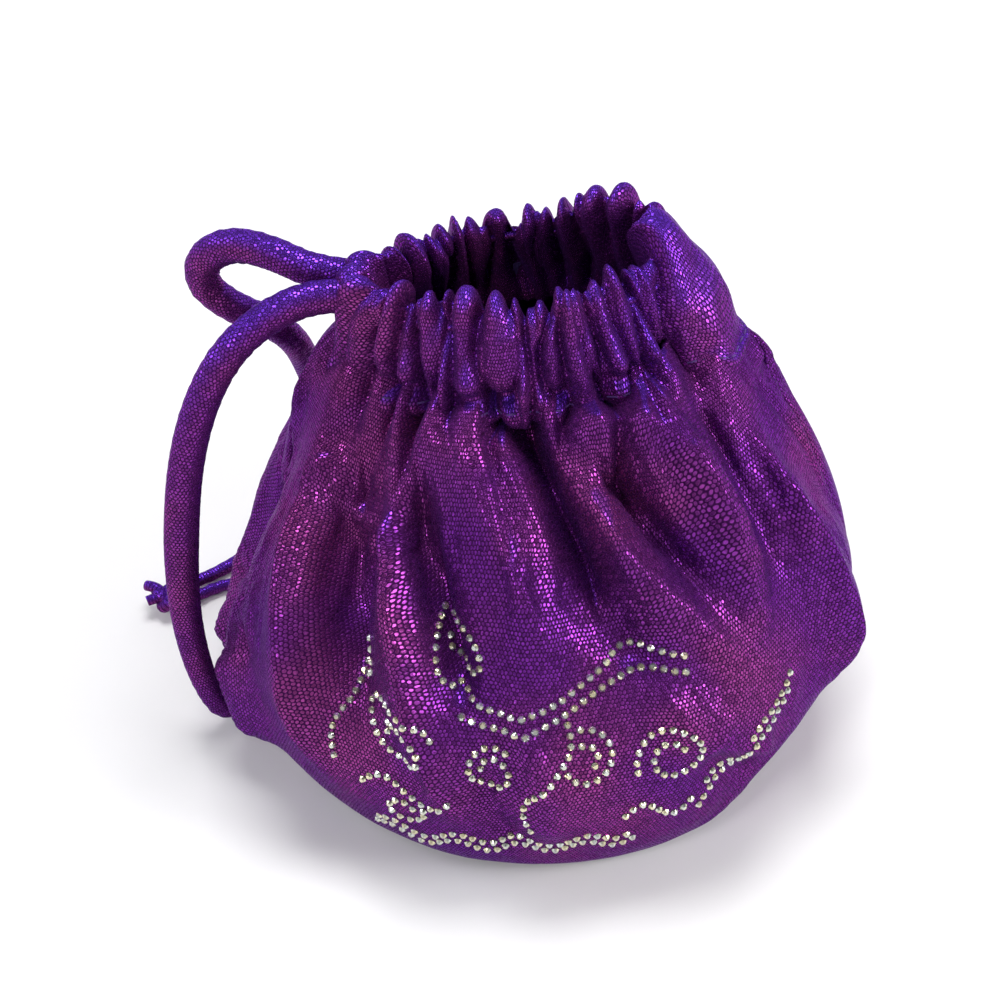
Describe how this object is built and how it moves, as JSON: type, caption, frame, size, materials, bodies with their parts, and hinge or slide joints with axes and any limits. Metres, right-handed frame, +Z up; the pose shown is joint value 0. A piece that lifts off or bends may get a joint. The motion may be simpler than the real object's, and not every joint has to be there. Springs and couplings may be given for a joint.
{
  "type": "drawstring pouch",
  "caption": "Puffed-out fabric pouch with a mouth gathered on a cloth drawstring, both cord ends knotted at one side, and rows of small crystal stones on the front.",
  "frame": {"origin": "under the middle of the bag, on the surface that it stands on, measured without the free drawstring", "axes": "+X to the right along the mouth, away from the side where the drawstring comes out; +Y from the front panel with the stones to the back panel; +Z up"},
  "size_m": [0.1918, 0.1449, 0.1422],
  "materials": {
    "foil_fabric": "stretch knit with a hexagonal print of small foil dots, purple with pink glints",
    "fabric_reverse": "dark matt reverse of the knit",
    "thread": "matching polyester thread",
    "cord_fabric": "the same knit, sewn as a soft tube",
    "crystal": "clear faceted flat-back stones with a foil back"
  },
  "bodies": {
    "pouch": {"front_panel": "foil_fabric", "back_panel": "foil_fabric", "seam_allowance": "fabric_reverse", "casing_stitching": "thread", "drawstring_in_casing": "cord_fabric", "drawstring_strand_a": "cord_fabric", "drawstring_strand_b": "cord_fabric", "drawstring_tail_a": "cord_fabric", "drawstring_tail_b": "cord_fabric", "drawstring_knot": "cord_fabric", "casing_left_end": "foil_fabric", "casing_front_gathers": "foil_fabric", "casing_back_gathers": "foil_fabric", "rhinestones_centre": "crystal", "rhinestones_left": "crystal", "rhinestones_right": "crystal", "rhinestones_hem": "crystal"},
    "casing_right": {"casing_right_end": "foil_fabric"}
  },
  "joints": [
    {"name": "mouth_cinch", "type": "slide", "parent": "pouch", "child": "casing_right", "axis": [-0.9903, 0, -0.1392], "range_m": [0, 0.04], "deforming": ["casing_front_gathers", "casing_back_gathers", "drawstring_in_casing", "casing_stitching"]}
  ]
}
